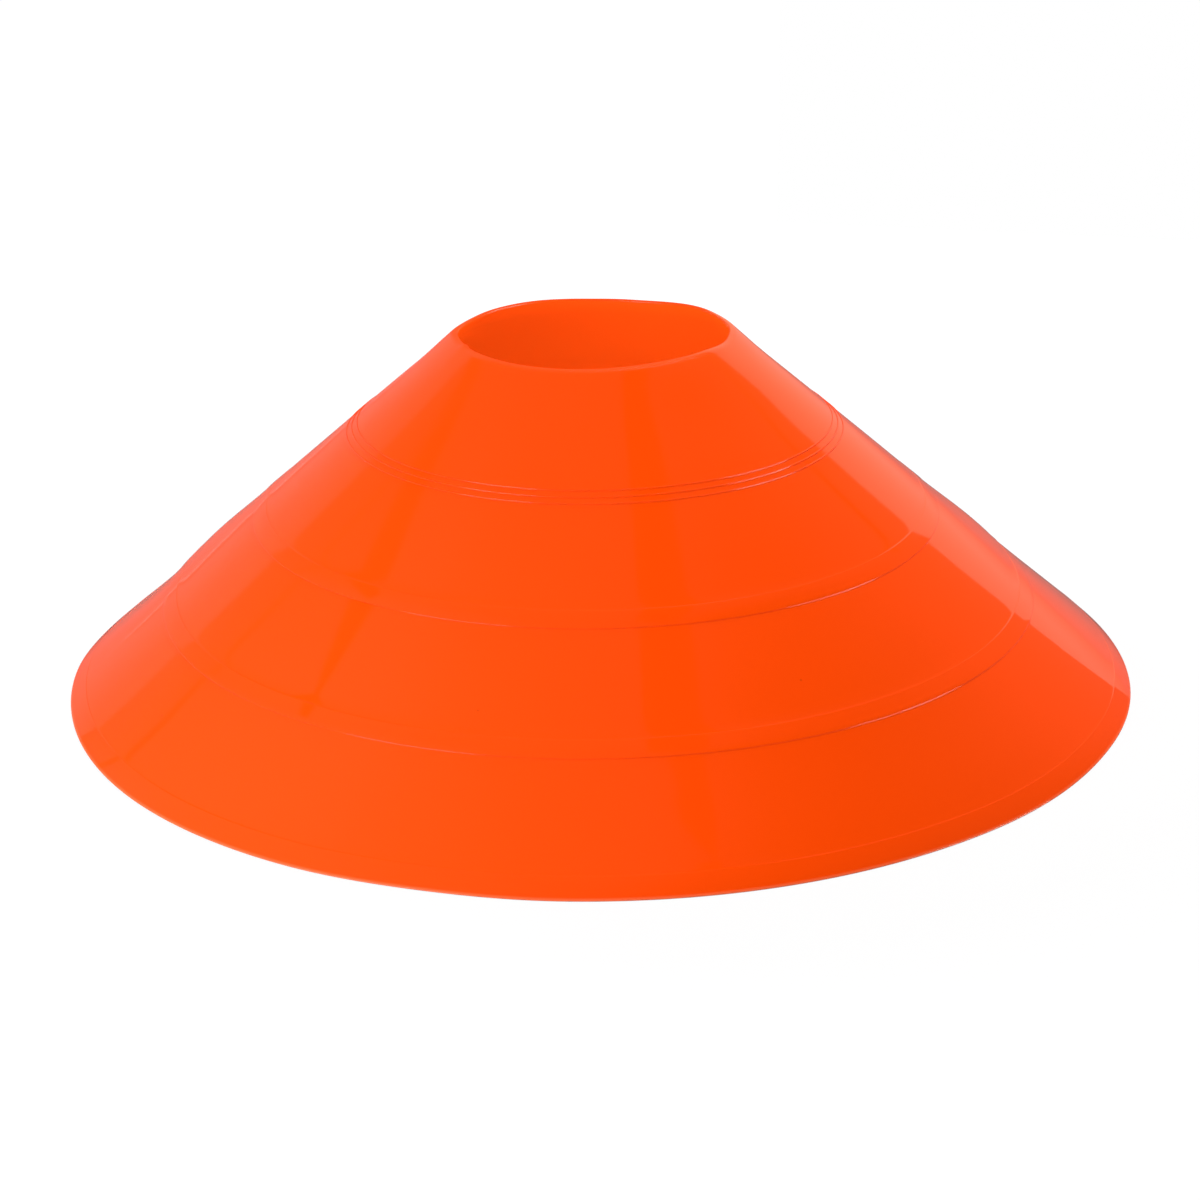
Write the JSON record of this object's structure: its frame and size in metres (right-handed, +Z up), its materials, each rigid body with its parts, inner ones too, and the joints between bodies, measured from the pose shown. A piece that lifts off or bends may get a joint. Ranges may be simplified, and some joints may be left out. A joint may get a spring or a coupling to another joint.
{
  "type": "sports marker cone",
  "caption": "Low, soft disc cone for marking out a pitch, open at the top and the base so that cones nest in a stack and thread over a carrying post.",
  "frame": {"origin": "centre of the base circle, on the ground plane", "axes": "+Z up along the cone's axis, towards the mouth; the shell is a body of revolution, so +X and +Y are free, and the picture looks along +Y"},
  "size_m": [0.2, 0.2, 0.065],
  "materials": {
    "orange_polyethylene": "glossy bright orange polyethylene, coloured right through, with soft broad highlights"
  },
  "bodies": {
    "root": {"cone_shell": "orange_polyethylene"}
  },
  "joints": []
}
